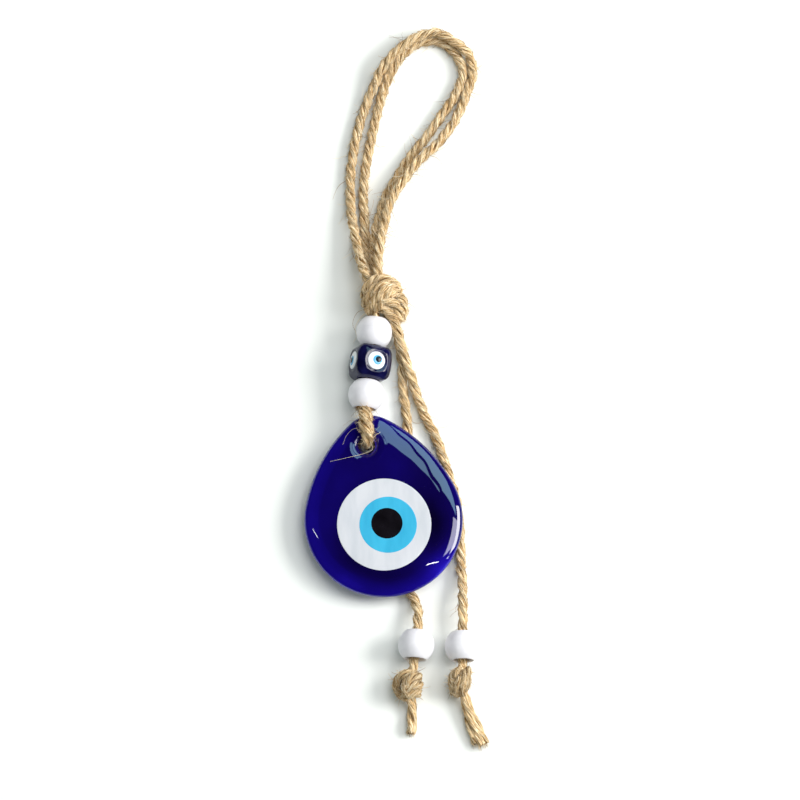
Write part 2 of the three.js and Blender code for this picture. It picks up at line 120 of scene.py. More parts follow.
LEFT_TAIL = [
    (0.4, 43.0, 7.0), (1.6, 41.0, 5.2), (2.7, 39.0, 3.8), (4.0, 36.0, 2.9), (4.9, 32.5, 2.3),
    (5.7, 28.7, 1.9), (6.2, 24.5, 1.6), (6.4, 17.0, 1.6), (7.4, 8.8, 1.55), (7.8, 1.0, 1.53),
    (4.4, -13.6, 1.53), (-0.8, -26.0, 1.53), (0.2, -36.0, 1.53), (4.8, -45.5, 1.53), (9.4, -53.0, 1.75),
    (11.1, -58.0, 3.4), (11.2, -62.5, 4.6), (10.7, -70.5, 4.8), (9.7, -77.5, 4.8), (9.0, -80.5, 4.8),
]
RIGHT_TAIL = [
    (0.6, 42.6, 9.6), (1.8, 41.0, 9.2), (3.1, 39.2, 8.3), (4.9, 34.1, 7.3), (5.8, 31.2, 6.7),
    (7.0, 26.9, 5.5), (8.6, 22.1, 4.0), (11.0, 14.6, 2.1), (13.5, 8.1, 1.6), (17.7, -0.7, 1.53),
    (21.3, -11.9, 1.53), (23.8, -20.4, 1.53), (25.2, -32.0, 1.53), (25.4, -42.0, 1.75), (25.9, -50.0, 3.6),
    (26.0, -55.5, 4.7), (26.0, -63.0, 4.8), (26.0, -70.9, 4.8), (25.8, -77.0, 4.8), (25.5, -80.0, 4.6),
]
LEFT_END = [(8.2, -85.6, 4.0), (9.0, -88.6, 2.7), (9.5, -92.5, 1.8), (9.3, -96.0, 1.7), (8.9, -99.3, 1.7)]
BIGHT = [
    (-5.9, 11.2, 8.1), (-6.05, 9.0, 8.5), (-6.1, 7.0, 9.5), (-6.0, 5.0, 10.5), (-5.8, 2.6, 11.0),
    (-5.4, 0.6, 10.9), (-5.1, -1.2, 10.1), (-5.1, -2.4, 8.4), (-5.3, -3.0, 5.9), (-5.4, -2.6, 3.2),
    (-5.5, -1.0, 1.7), (-5.7, 1.6, 1.4), (-5.8, 4.2, 1.4), (-6.0, 6.1, 2.1), (-6.1, 7.4, 3.6),
    (-6.2, 8.3, 5.0), (-6.1, 9.4, 5.5), (-5.9, 11.2, 5.6),
]

HOLE_HAIRS = [
    [(-4.6, -2.6, 10.2), (-3.6, -5.2, 9.4), (-6.0, -6.6, 9.15), (-11.0, -7.9, 9.1), (-17.6, -9.4, 8.8)],
    [(-6.8, 0.4, 11.2), (-9.6, 1.4, 10.4), (-12.2, -0.8, 9.6), (-13.4, -3.8, 9.3)],
    [(-7.4, 3.0, 10.8), (-10.6, 4.4, 9.4), (-13.4, 2.8, 8.4)],
]
BEAD_HAIRS = [
    [(-4.4, 41.4, 11.0), (-7.3, 39.4, 10.2), (-9.4, 35.8, 9.4), (-9.0, 33.2, 8.6), (-10.0, 31.0, 7.8)],
    [(-5.0, 42.4, 9.6), (-8.6, 41.2, 8.8), (-10.2, 37.6, 8.0), (-9.2, 34.6, 8.6)],
    [(7.4, 43.6, 8.0), (10.0, 45.6, 8.6), (11.4, 48.8, 8.2)],
]


# ---------- colour and material helpers ----------
def srgb(red, green, blue):
    """Linear colour from 0-255 screen values."""
    def one(value):
        value /= 255
        return value / 12.92 if value <= 0.04045 else ((value + 0.055) / 1.055) ** 2.4
    return (one(red), one(green), one(blue), 1.0)


MATERIALS = {}


def set_inputs(made, **values):
    for key, value in values.items():
        made.inputs[key.replace("_", " ")].default_value = value


def shader_of(material):
    return material.node_tree.nodes["Principled BSDF"]


def new_material(name, colour, roughness, **sockets):
    """A material of one screen colour and gloss, kept in MATERIALS. Its nodes are added afterwards."""
    material = bpy.data.materials.new(name)
    material.use_nodes = True
    set_inputs(shader_of(material), Base_Color=srgb(*colour), Roughness=roughness, **sockets)
    MATERIALS[name] = material
    return material


def node(material, kind, **values):
    """A new node with its properties set."""
    made = material.node_tree.nodes.new(kind)
    for key, value in values.items():
        setattr(made, key, value)
    return made


def link(material, source, output, target, socket):
    material.node_tree.links.new(source.outputs[output], target.inputs[socket])


def paint(material, colour):
    """Gives the shader its colour from an output."""
    material.node_tree.links.new(colour, shader_of(material).inputs["Base Color"])


def noise_node(material, source, output, **values):
    """Noise over the places that the source gives."""
    noise = node(material, "ShaderNodeTexNoise")
    set_inputs(noise, **values)
    link(material, source, output, noise, "Vector")
    return noise


def relief(material, height, strength, distance):
    """Bump from an output that holds the height."""
    bump = node(material, "ShaderNodeBump")
    set_inputs(bump, Strength=strength, Distance=distance)
    material.node_tree.links.new(height, bump.inputs["Height"])
    link(material, bump, "Normal", shader_of(material), "Normal")


def colour_ramp(material, stops, factor, shade=1.0):
    """The colour that a ramp of (place, screen colour) stops gives for a factor, darkened by the shade."""
    def shaded(colour):
        return srgb(*(value * shade for value in colour))

    ramp = node(material, "ShaderNodeValToRGB")
    elements = ramp.color_ramp.elements
    for element, (place_on_ramp, colour) in zip(elements, (stops[0], stops[-1])):
        element.position = place_on_ramp
        element.color = shaded(colour)
    for place_on_ramp, colour in stops[1:-1]:
        elements.new(place_on_ramp).color = shaded(colour)
    material.node_tree.links.new(factor, ramp.inputs["Fac"])
    return ramp.outputs["Color"]


def cobalt_glass():
    """Deep blue glass with a sharp gloss. The attribute that it reads holds painted light and shade for each
    point.
    """
    material = new_material("cobalt_glass", (18, 8, 104), 0.018, Coat_Weight=0.3, Coat_Roughness=0.01)
    cloud = noise_node(material, node(material, "ShaderNodeTexCoord"), "Object", Scale=55, Detail=4)
    # the attribute holds painted light and shade, added to the glass's own clouding
    painted_light = node(material, "ShaderNodeAttribute", attribute_name="painted_light")
    total = node(material, "ShaderNodeMath", operation="MULTIPLY_ADD")
    total.inputs[1].default_value = 0.34
    link(material, cloud, "Fac", total, 0)
    link(material, painted_light, "Fac", total, 2)
    blues = [(0.10, (6, 2, 34)), (0.36, (12, 4, 70)), (0.62, (17, 7, 106))]
    blues += [(0.85, (26, 13, 142)), (1.0, (44, 34, 190))]
    paint(material, colour_ramp(material, blues, total.outputs["Value"]))


def streaks(material, along, across, detail):
    """Noise drawn out along the plies, from the cord's own map."""
    stretch = node(material, "ShaderNodeMapping")
    set_inputs(stretch, Scale=(along, across, 1.0))
    link(material, node(material, "ShaderNodeUVMap", uv_map="along"), "UV", stretch, "Vector")
    return noise_node(material, stretch, "Vector", Scale=1.0, Detail=detail, Roughness=0.6).outputs["Fac"]


def multiplied(material, first, second):
    mix = node(material, "ShaderNodeMix", data_type="RGBA", blend_type="MULTIPLY")
    mix.inputs[0].default_value = 1.0
    material.node_tree.links.new(first, mix.inputs[6])
    material.node_tree.links.new(second, mix.inputs[7])
    return mix.outputs[2]


def jute_material(name, shade):
    """Jute: straw-coloured fibres that run along each ply, with painted shade in the grooves, and fibre
    relief.
    """
    material = new_material(name, (214, 184, 140), 0.9, Specular_IOR_Level=0.25, Sheen_Weight=0.15)
    set_inputs(shader_of(material), Sheen_Tint=srgb(240, 220, 180))
    fine = streaks(material, 2.6, 9.0, 6)
    broad = streaks(material, 1.0, 2.4, 3)
    # the depth from the cord's middle drives painted shade in the grooves between the plies
    depth = node(material, "ShaderNodeAttribute", attribute_name="depth").outputs["Fac"]
    fibres = [(0.385, (92, 62, 32)), (0.44, (198, 162, 110)), (0.52, (244, 216, 170)), (0.6, (255, 247, 221))]
    patches = [(0.34, (232, 219, 200)), (0.54, (255, 253, 249))]
    groove_shade = [(0.54, (120, 90, 56)), (0.63, (224, 208, 184)), (0.73, (255, 255, 255))]
    colour = colour_ramp(material, fibres, fine, shade)
    for stops, factor in ((patches, broad), (groove_shade, depth)):
        colour = multiplied(material, colour, colour_ramp(material, stops, factor))
    paint(material, colour)
    relief(material, fine, 0.9, 0.0004)


def hair_material():
    """Single fibres, each with its own shade from brown to pale straw."""
    material = new_material("jute_hair", (222, 196, 150), 0.75, Specular_IOR_Level=0.3)
    shade = node(material, "ShaderNodeAttribute", attribute_name="depth")
    stops = [(0.0, (112, 80, 46)), (0.3, (190, 154, 106)), (0.6, (236, 210, 166)), (1.0, (255, 244, 218))]
    paint(material, colour_ramp(material, stops, shade.outputs["Fac"]))


def clouded(name, low, high, roughness, stretch, bump=0.0, **sockets):
    """Glass or plastic whose colour drifts between two near shades, drawn out by stretch."""
    material = new_material(name, high, roughness, **sockets)
    turn = node(material, "ShaderNodeMapping")
    set_inputs(turn, Rotation=(0.0, 0.0, math.radians(20)), Scale=stretch)
    link(material, node(material, "ShaderNodeTexCoord"), "Object", turn, "Vector")
    drift = noise_node(material, turn, "Vector", Scale=1.0, Detail=4).outputs["Fac"]
    paint(material, colour_ramp(material, [(0.36, low), (0.62, high)], drift))
    if bump:
        relief(material, drift, bump, 0.0001)


def make_materials():
    streaky = (260, 60, 100)
    even = (240, 240, 240)
    cobalt_glass()
    clouded("white_glass", (198, 203, 211), (210, 213, 220), 0.12, streaky)
    clouded("light_blue_glass", (48, 164, 207), (61, 180, 220), 0.12, streaky)
    clouded("cube_white", (226, 232, 236), (240, 243, 246), 0.12, even)
    clouded("cube_blue", (60, 150, 200), (80, 176, 218), 0.12, even)
    clouded("black_glass", (12, 10, 14), (20, 18, 23), 0.05, even, Specular_IOR_Level=0.25)
    clouded("navy_glass", (9, 9, 44), (20, 20, 66), 0.06, even, Specular_IOR_Level=0.32)
    clouded("white_bead", (230, 229, 235), (241, 240, 245), 0.42, even, bump=0.15)
    # the two darker copies of jute are painted shade: in the tight stopper knots and inside the knots
    for name, shade in (("jute", 1.0), ("jute_knot_shade", 0.86), ("jute_core_shade", 0.5)):
        jute_material(name, shade)
    hair_material()


# ---------- mesh helpers ----------
def set_attribute(mesh, name, values):
    """One value for each point, for the material."""
    mesh.attributes.new(name, "FLOAT", "POINT").data.foreach_set("value", np.asarray(values, np.float32))


def mesh_object(name, points, faces, material, uv=None, depth=None):
    """A smooth object from points in millimetres, with a map and a depth for each point if they are given."""
    mesh = bpy.data.meshes.new(name)
    mesh.from_pydata((np.asarray(points, float) * MM).tolist(), [], [list(map(int, f)) for f in faces])
    mesh.materials.append(MATERIALS[material])
    mesh.polygons.foreach_set("use_smooth", [True] * len(mesh.polygons))
    if uv is not None:
        layer = mesh.uv_layers.new(name="along")
        loops = np.zeros(len(mesh.loops), np.int32)
        mesh.loops.foreach_get("vertex_index", loops)
        layer.data.foreach_set("uv", np.asarray(uv, np.float32)[loops].ravel())
    if depth is not None:
        set_attribute(mesh, "depth", depth)
    made = bpy.data.objects.new(name, mesh)
    bpy.context.scene.collection.objects.link(made)
    return made


def mesh_points(made):
    """The points of an object's mesh, in millimetres."""
    co = np.zeros(len(made.data.vertices) * 3)
    made.data.vertices.foreach_get("co", co)
    return co.reshape(-1, 3) / MM


def finish_piece(made, cad, sharp=50):
    """Smooth shading but for edges sharper than so many degrees, with the CAD node that it stands for hidden.
    """
    mesh = made.data
    mesh.polygons.foreach_set("use_smooth", [True] * len(mesh.polygons))
    mesh.set_sharp_from_angle(angle=math.radians(sharp))
    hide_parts(cad)
    return made


def grid_faces(rows, around, closed_rows=False):
    """Quads of a tube of rings: rows rings of around points each."""
    r = np.arange(rows if closed_rows else rows - 1)
    i = np.arange(around)
    r, i = np.meshgrid(r, i, indexing="ij")
    nxt, j = (r + 1) % rows, (i + 1) % around
    return np.stack([r * around + i, r * around + j, nxt * around + j, nxt * around + i], -1).reshape(-1, 4)


def capped_faces(rows, around):
    """Faces of a tube of rings that is closed at both ends."""
    first = list(range(around))[::-1]
    last = [(rows - 1) * around + i for i in range(around)]
    return grid_faces(rows, around).tolist() + [first, last]


def joined(parts):
    """Several (points, faces) as one."""
    points, faces, base = [], [], 0
    for more, its_faces in parts:
        points.append(more)
        faces += [[int(v) + base for v in face] for face in its_faces]
        base += len(more)
    return np.vstack(points), faces


def smooth_route(route, step, closed=False):
    """A centripetal Catmull-Rom curve through the points, sampled evenly."""
    points = np.array(route, float)
    if closed:
        points = np.vstack([points[-1], points, points[:2]])
    else:
        first, last = 2 * points[0] - points[1], 2 * points[-1] - points[-2]
        points = np.vstack([first, points, last])
    fine = []
    for k in range(1, len(points) - 2):
        p = points[k - 1 : k + 3]
        t = np.concatenate([[0], np.cumsum(np.linalg.norm(np.diff(p, axis=0), axis=1) ** 0.5)])
        s = np.linspace(t[1], t[2], 24, endpoint=False)[:, None]

        def between(low, high, start, end):
            return (high - s) / (high - low) * start + (s - low) / (high - low) * end

        a = [between(t[i], t[i + 1], p[i], p[i + 1]) for i in range(3)]
        b = [between(t[i], t[i + 2], a[i], a[i + 1]) for i in range(2)]
        fine.append(between(t[1], t[2], b[0], b[1]))
    fine = np.vstack(fine + [points[-2][None]])
    along = np.concatenate([[0], np.cumsum(np.linalg.norm(np.diff(fine, axis=0), axis=1))])
    count = max(8, int(round(along[-1] / step)) + 1)
    at = np.linspace(0, along[-1], count, endpoint=not closed)
    return np.stack([np.interp(at, along, fine[:, k]) for k in range(3)], 1), at, along[-1]


def frames_along(line, closed=False):
    """Tangents and two cross directions that turn as little as possible."""
    ahead = np.roll(line, -1, 0) - np.roll(line, 1, 0)
    if not closed:
        ahead[0], ahead[-1] = line[1] - line[0], line[-1] - line[-2]
    tangent = ahead / np.linalg.norm(ahead, axis=1)[:, None]
    side = np.zeros_like(tangent)
    start = np.cross(tangent[0], [0.0, 0.0, 1.0])
    if np.linalg.norm(start) < 0.1:
        start = np.cross(tangent[0], [1.0, 0.0, 0.0])
    side[0] = start / np.linalg.norm(start)
    for i in range(1, len(line)):
        moved = side[i - 1] - tangent[i] * (side[i - 1] @ tangent[i])
        side[i] = moved / np.linalg.norm(moved)
    if closed:
        moved = side[-1] - tangent[0] * (side[-1] @ tangent[0])
        left = math.atan2(np.cross(moved, side[0]) @ tangent[0], moved @ side[0])
        for i in range(len(line)):
            angle = left * i / len(line)
            other = np.cross(tangent[i], side[i])
            side[i] = math.cos(angle) * side[i] + math.sin(angle) * other
    return tangent, side, np.cross(tangent, side)


def ply_lines(line, at, total, width, seed, pitch, closed):
    """The plies of a left-handed rope round a line: their centre points and turn angles, and the radii."""
    random = np.random.default_rng(seed)
    _, side, other = frames_along(line, closed)
    turns = total / pitch
    if closed:
        turns = max(1, round(turns))
    share = at / total
    helix_r = 0.25 * width
    phase = random.uniform(0, 6.28)
    plies = []
    for ply in range(3):
        uneven = 0.35 * np.sin(2 * np.pi * (share * max(1, round(total / 31)) + random.random()))
        turn = phase - 2 * np.pi * turns * share + 2 * np.pi * ply / 3 + uneven * (ply - 1) * 0.6
        wander = 1 + 0.07 * np.sin(2 * np.pi * (share * max(1, round(total / 23)) + random.random()))
        out = np.cos(turn)[:, None] * side + np.sin(turn)[:, None] * other
        plies.append((line + (helix_r * wander)[:, None] * out, turn))
    return plies, 0.272 * width, side, other


class Cord:
    """A length of three-ply cord: its route, its plies, and the object made from it."""

    def __init__(self, name, route, width, seed, step=0.5, pitch=PITCH, closed=False, around=28,
                 material="jute"):
        self.line, self.at, self.total = smooth_route(route, step, closed)
        widths = np.atleast_1d(np.array(width, float))
        self.width = np.interp(self.at / self.total, np.linspace(0, 1, len(widths)), widths)
        seed += SEED
        self.plies = ply_lines(self.line, self.at, self.total, self.width, seed, pitch, closed)
        points, faces, uv, depth = self.tubes(seed + 7, closed, around)
        self.piece = mesh_object(name, points, faces, material, uv, depth)

    def tubes(self, seed, closed, around):
        """Points, faces, map and depth of the three plies."""
        random = np.random.default_rng(seed)
        plies, ply_r, side, other = self.plies
        count = len(self.line)
        share = self.at / self.total
        angles = np.linspace(0, 2 * np.pi, around, endpoint=False)
        ring = np.cos(angles)[None, :, None] * side[:, None] + np.sin(angles)[None, :, None] * other[:, None]
        parts, uv, depth = [], [], []
        for ply, (centre, turn) in enumerate(plies):
            swell = np.ones((count, around))
            for waves, high in PLY_WAVES:
                lean = round(self.total / random.uniform(9, 16)) * random.choice([-1, 1])
                twist = 2 * np.pi * (lean * share[:, None] + random.random())
                swell += high * np.sin(waves * angles[None] + twist)
            swell += random.normal(0, 0.025, (count, around))
            radius = ply_r[:, None] * swell
            if not closed:
                radius[0] *= 0.6
                radius[-1] *= 0.6
            skin = centre[:, None] + radius[:, :, None] * ring
            # how far out each point lies, for the painted shade in the grooves
            away = np.linalg.norm(skin - self.line[:, None], axis=2)
            depth.append((away / (0.5 * self.width[:, None])).ravel())
            around_uv = np.abs(((angles - turn[:, None]) / np.pi + ply) % 2 - 1)
            along_uv = np.repeat(self.at[:, None] / 10 + 7 * ply, around, 1)
            uv.append(np.stack([along_uv, around_uv + 5 * ply], -1).reshape(-1, 2))
            faces = grid_faces(count, around, True) if closed else capped_faces(count, around)
            parts.append((skin.reshape(-1, 3), faces))
        return *joined(parts), np.vstack(uv), np.concatenate(depth)

    def laid_fibre(self, random):
        """Points of a fibre that lies on a ply and lifts off it at both ends."""
        plies, ply_r, side, other = self.plies
        centre, turn = plies[random.integers(3)]
        steps = 7
        long = int(random.uniform(3, 9) / (self.total / len(self.line)))
        first = random.integers(0, max(1, len(centre) - long - 1))
        at = np.linspace(first, min(first + long, len(centre) - 1), steps).astype(int)
        angle = turn[at] + random.uniform(-1.1, 1.1) + np.linspace(0, random.normal(0, 0.5), steps)
        lift = 0.02 + np.abs(np.linspace(-1, 1, steps)) ** 4 * random.uniform(0.05, 0.4)
        out = np.cos(angle)[:, None] * side[at] + np.sin(angle)[:, None] * other[at]
        return centre[at] + (ply_r[at] * 1.02 + lift)[:, None] * out


def free_hair(start, direction, length, bend, random):
    """The line of one loose fibre that leaves the cord and bends as it likes, but never under the floor."""
    steps = 6
    line = [np.array(start, float)]
    heading = np.array(direction, float)
    heading /= np.linalg.norm(heading)
    curl = random.normal(0, bend, 3)
    for _ in range(steps):
        heading = heading + curl / steps + random.normal(0, bend * 0.25, 3)
        heading /= np.linalg.norm(heading)
        line.append(line[-1] + heading * length / steps)
    line = np.array(line)
    line[:, 2] = np.maximum(line[:, 2], 0.08)
    return line


def hairs_object(name, lines, random, thin=0.045, thick=0.10):
    """All the loose fibres as one piece: thin three-sided tubes that taper to both ends."""
    points, faces, shades, base = [], [], [], 0
    angles = np.array([0, 2.094, 4.189])
    for line in lines:
        _, side, other = frames_along(line)
        radius = random.uniform(thin, thick) * np.linspace(1, 0.4, len(line))[:, None, None]
        ring = np.cos(angles)[None, :, None] * side[:, None] + np.sin(angles)[None, :, None] * other[:, None]
        more = (line[:, None] + radius * ring).reshape(-1, 3)
        more[:, 2] = np.maximum(more[:, 2], 0.03)
        points.append(more)
        shades.append(np.full(len(more), random.random()))
        faces.append(grid_faces(len(line), 3) + base)
        base += len(more)
    made = mesh_object(name, np.vstack(points), np.vstack(faces), "jute_hair", depth=np.concatenate(shades))
    return made


def fuzz(name, cords, loose, laid, seed, longest=7.0, wild=0.12, until=1.0):
    """Loose fibres that stand off some cords, and others that lie along their plies, shared out by length."""
    random = np.random.default_rng(SEED + seed)
    whole = sum(cord.total for cord in cords)
    lines = []
    for cord in cords:
        tangent, side, other = frames_along(cord.line)
        for _ in range(round(loose * cord.total / whole)):
            i = random.integers(2, int((len(cord.line) - 2) * until))
            angle = random.uniform(0, 2 * np.pi)
            out = math.cos(angle) * side[i] + math.sin(angle) * other[i]
            start = cord.line[i] + out * cord.width[i] * 0.42
            way = tangent[i] * random.choice([-1, 1])
            length = random.uniform(1.0, 3.2)
            lift = random.uniform(0.1, 0.7)
            if random.random() < wild:
                length = random.uniform(3.5, longest)
                lift = random.uniform(0.3, 1.2)
            lines.append(free_hair(start, way + lift * out, length, 0.7, random))
        lines += [cord.laid_fibre(random) for _ in range(round(laid * cord.total / whole))]
    return hairs_object(name, lines, random)


# ---------- pendant ----------
def teardrop(inset, counts=(40, 30, 90, 30)):
    """The outline: two end circles joined by large tangent arcs, shrunk evenly by inset."""
    big, small, side = GLASS_BIG_R - inset, GLASS_SMALL_R - inset, GLASS_SIDE_R - inset
    b, s = np.array(GLASS_BIG), np.array(GLASS_SMALL)
    length = np.linalg.norm(s - b)
    along = (s - b) / length
    across = np.array([-along[1], along[0]])
    near, far = side - big, side - small
    t = (near * near - far * far + length * length) / (2 * length)
    h = math.sqrt(near * near - t * t)
    left, right = b + along * t - across * h, b + along * t + across * h

    def heading(start, end):
        return math.atan2(end[1] - start[1], end[0] - start[0])

    def arc(centre, radius, start, end, count):
        end = end + 2 * math.pi if end < start else end
        a = start + (end - start) * np.arange(count) / count
        return np.stack([centre[0] + radius * np.cos(a), centre[1] + radius * np.sin(a)], 1)

    return np.vstack([
        arc(s, small, heading(right, s), heading(left, s), counts[0]),
        arc(left, side, heading(left, s), heading(left, b), counts[1]),
        arc(b, big, heading(left, b), heading(right, b), counts[2]),
        arc(right, side, heading(right, b), heading(right, s), counts[3]),
    ])


def dome_height(inset):
    """Height of the pendant's front above the floor, this far in from the outline."""
    rise = GLASS_T - GLASS_BACK_R
    u = 1 - np.minimum(np.maximum(inset, 0), GLASS_DOME) / GLASS_DOME
    return GLASS_Z + GLASS_BACK_R + (rise + DOME_RISE) * (1 - u ** DOME_POWER) ** (1 / DOME_POWER)


def edge_distance(points):
    """How far inside the outline each point lies."""
    rim = teardrop(0.0, (80, 60, 180, 60))
    apart = np.linalg.norm(points[:, None] - rim[None], axis=2)
    return apart.min(1)


def add_boolean(target, cutter):
    made = target.modifiers.new("cut", "BOOLEAN")
    made.operation = "DIFFERENCE"
    made.solver = "EXACT"
    made.object = cutter
    bpy.context.view_layer.objects.active = target
    with bpy.context.temp_override(object=target, active_object=target):
        bpy.ops.object.modifier_apply(modifier=made.name)
    bpy.data.objects.remove(cutter, do_unlink=True)


def wave(x, y):
    """The slight unevenness of pressed glass, in millimetres."""
    return 0.02 * np.sin(0.31 * x + 0.6) * np.sin(0.27 * y + 1.1) + 0.012 * np.sin(0.63 * x - 0.41 * y)


def bell(distance, width=1.0):
    """1 in the middle, falling away smoothly over the width."""
    return np.exp(-((distance / width) ** 2))


def rim_ring(r):
    """The dished mouth of the hole with a low raised ring round it, at this distance from its middle."""
    dish = np.clip((r - HOLE_R) / DISH_W, 0, 1)
    return 0.10 * bell(r - RIM_RING_R, 0.5) - DISH_DEEP * (1 - dish) ** 2


def surface(xy):
    """Height of the finished dome with its slight waves."""
    return dome_height(edge_distance(xy)) + wave(xy[:, 0], xy[:, 1])


def from_hole(xy):
    """How far points lie from the hole's middle."""
    return np.hypot(xy[:, 0] - HOLE[0], xy[:, 1] - HOLE[1])


def front_height(xy):
    """Height of the finished front with the ring round the hole."""
    return surface(xy) + rim_ring(from_hole(xy))


def circle_points(centre, radius, count):
    a = np.linspace(0, 2 * np.pi, count, endpoint=False)
    return np.stack([centre[0] + radius * np.cos(a), centre[1] + radius * np.sin(a)], 1)


def net(edge_inset, insets, hole_rings, hole_at=HOLE, hole_r=HOLE_R):
    """A flat net of triangles over the teardrop, with its hole: points and faces."""
    outline = teardrop(edge_inset)
    hole = circle_points(hole_at, hole_r, HOLE_POINTS)
    clear_of = (hole_rings[-1] if hole_rings else HOLE_R) + 0.25

    def clear(points):
        return points[from_hole(points) > clear_of]

    inner = [clear(teardrop(inset, (30, 24, 90, 24))) for inset in insets]
    middle = np.array([-0.3, -25.5])
    last = teardrop(insets[-1], (16, 14, 60, 14))
    for share in np.linspace(0.95, 0.03, 22 if hole_rings else 6):
        inner.append(clear(middle + (last - middle) * share)[:: 1 if share > 0.4 else 3])
    for r in hole_rings:
        points = circle_points(HOLE, r, HOLE_POINTS)
        inner.append(points[edge_distance(points) > edge_inset + 0.15])
    flat = np.vstack([outline, hole] + inner)
    n, m = len(outline), len(hole)
    edges = [(i, (i + 1) % n) for i in range(n)] + [(n + i, n + (i + 1) % m) for i in range(m)]
    points, _, faces, _, _, _ = delaunay_2d_cdt([Vector(p) for p in flat], edges, [], 0, 1e-5)
    points = np.array([tuple(p) for p in points])
    kept = []
    for face in faces:
        x, y = points[list(face)].mean(0)
        if math.hypot(x - hole_at[0], y - hole_at[1]) > hole_r * 0.999 and outline_holds(outline, x, y):
            kept.append(list(face))
    return points, kept


def outline_holds(outline, x, y):
    """True if (x, y) is inside the closed outline."""
    nxt = np.roll(outline, -1, 0)
    crosses = (outline[:, 1] > y) != (nxt[:, 1] > y)
    rise = nxt[:, 1] - outline[:, 1] + 1e-12
    at = (nxt[:, 0] - outline[:, 0]) * (y - outline[:, 1]) / rise + outline[:, 0]
    return bool(np.count_nonzero(crosses & (x < at)) % 2)


def glass_painted_light(points):
    """Painted light and shade on the glass: painted light at the thin edge, the hole's wall and a few patches,
    painted shadow below the eye.
    """
    x, y = points[:, 0], points[:, 1]
    inset = np.maximum(edge_distance(points[:, :2]), 0)
    # painted light, stronger where the glass thins towards its edge
    painted_light = 0.27 + 0.20 * bell(inset, 3.2) + 0.08 * bell(inset, 0.7)
    # painted light in a band along the left edge
    left_band = np.clip((4.9 - inset) / 0.5, 0, 1) * np.clip((-x - 6) / 6, 0, 1)
    painted_light += 0.10 * left_band
    # painted shadow of the white eye, falling below and to the right of it
    away_x, away_y = x - EYE[0] - 1.2, y - EYE[1] + 1.6
    to_eye = np.maximum(np.hypot(away_x, away_y) - EYE_WHITE_R, 0)
    below = np.clip(0.55 + (away_x * 0.5 - away_y) / 26, 0.12, 1)
    painted_light -= 0.24 * below * bell(to_eye, 3.0)
    # painted patches of light, one painted darker patch, and painted light towards the left
    painted_light += 0.26 * bell(np.hypot((x - 16.0) / 8, (y + 43.0) / 5.5))
    painted_light += 0.10 * bell(np.hypot((x + 9) / 12, (y + 50.0) / 4))
    painted_light -= 0.20 * np.clip((x - 4) / 12, 0, 1) * np.clip((y + 42) / 14, 0, 1)
    painted_light += 0.06 * np.clip((-x - 8) / 14, 0, 1)
    # painted light on the hole's wall, brighter towards its right side
    wall = from_hole(points) < HOLE_R + 0.3
    painted_light[wall] = 0.30 + 0.5 * np.clip((x[wall] - HOLE[0]) / HOLE_R, 0, 1)
    return painted_light


def reversed_faces(faces):
    return [face[::-1] for face in faces]


def glass_front():
    """The fine net of the front."""
    insets = (0.14, 0.26, 0.42, 0.65, 0.95, 1.35, 1.8, 2.3, 2.9, 3.6, 4.4, 5.2, 6.0, 6.8, 7.6, 8.4, 9.2)
    hole_rings = [HOLE_R + 0.08 + 0.16 * k ** 1.12 for k in range(20)]
    points, faces = net(GLASS_INSET, insets, hole_rings)
    return np.column_stack([points, front_height(points)]), faces


def glass_edge():
    """The rounded edge, from the front down to the back."""
    outline = teardrop(GLASS_INSET)
    rings = [np.column_stack([outline, front_height(outline)])]
    for i in range(10):
        angle = (1 - i / 9) * math.pi / 2
        ring = teardrop(GLASS_BACK_R * (1 - math.sin(angle)))
        height = GLASS_Z + GLASS_BACK_R * (1 - math.cos(angle))
        rings.append(np.column_stack([ring, np.full(len(ring), height)]))
    return np.vstack(rings), reversed_faces(grid_faces(len(rings), len(outline)))


def glass_back():
    """The flat back with the narrow end of the hole."""
    points, faces = net(GLASS_BACK_R, (4.0, 6.0), [], (HOLE[0], HOLE[1] + HOLE_SHIFT), HOLE_BACK_R)
    return np.column_stack([points, np.full(len(points), GLASS_Z)]), reversed_faces(faces)


def hole_wall():
    """The wall of the hole, from the front to the back."""
    top = front_height(circle_points(HOLE, HOLE_R, HOLE_POINTS))
    walls = []
    for share in np.linspace(0, 1, 9):
        radius = HOLE_R + (HOLE_BACK_R - HOLE_R) * share
        ring = circle_points((HOLE[0], HOLE[1] + HOLE_SHIFT * share), radius, HOLE_POINTS)
        walls.append(np.column_stack([ring, top + (GLASS_Z - top) * share]))
    return np.vstack(walls), grid_faces(len(walls), HOLE_POINTS)


def make_pendant():
    """The blue teardrop, closed from its four surfaces, with its painted light and shade put on."""
    points, faces = joined([glass_front(), glass_edge(), glass_back(), hole_wall()])
    glass = mesh_object("glass_pendant", points, faces, "cobalt_glass")
    merge_close(glass, 2e-6)
    set_attribute(glass.data, "painted_light", glass_painted_light(mesh_points(glass)))
    return finish_piece(glass, "pendant_glass")


def bore_cutter():
    """A plain cylinder along Y, as wide as a bore."""
    around = 56
    ring = circle_points((0, 0), BEAD_BORE_R, around)
    points = np.vstack([np.column_stack([ring, np.full(around, z)]) for z in (-10, 10)])
    made = mesh_object("bore_cutter", points, capped_faces(2, around), "cobalt_glass")
    made.data.transform(Matrix.Rotation(math.pi / 2, 4, "X"))
    return made


def on_dome(xy, lift, down=0.0):
    """Points over flat places, lifted above the finished dome or sunk into it."""
    return np.column_stack([xy, surface(xy) + lift + down])


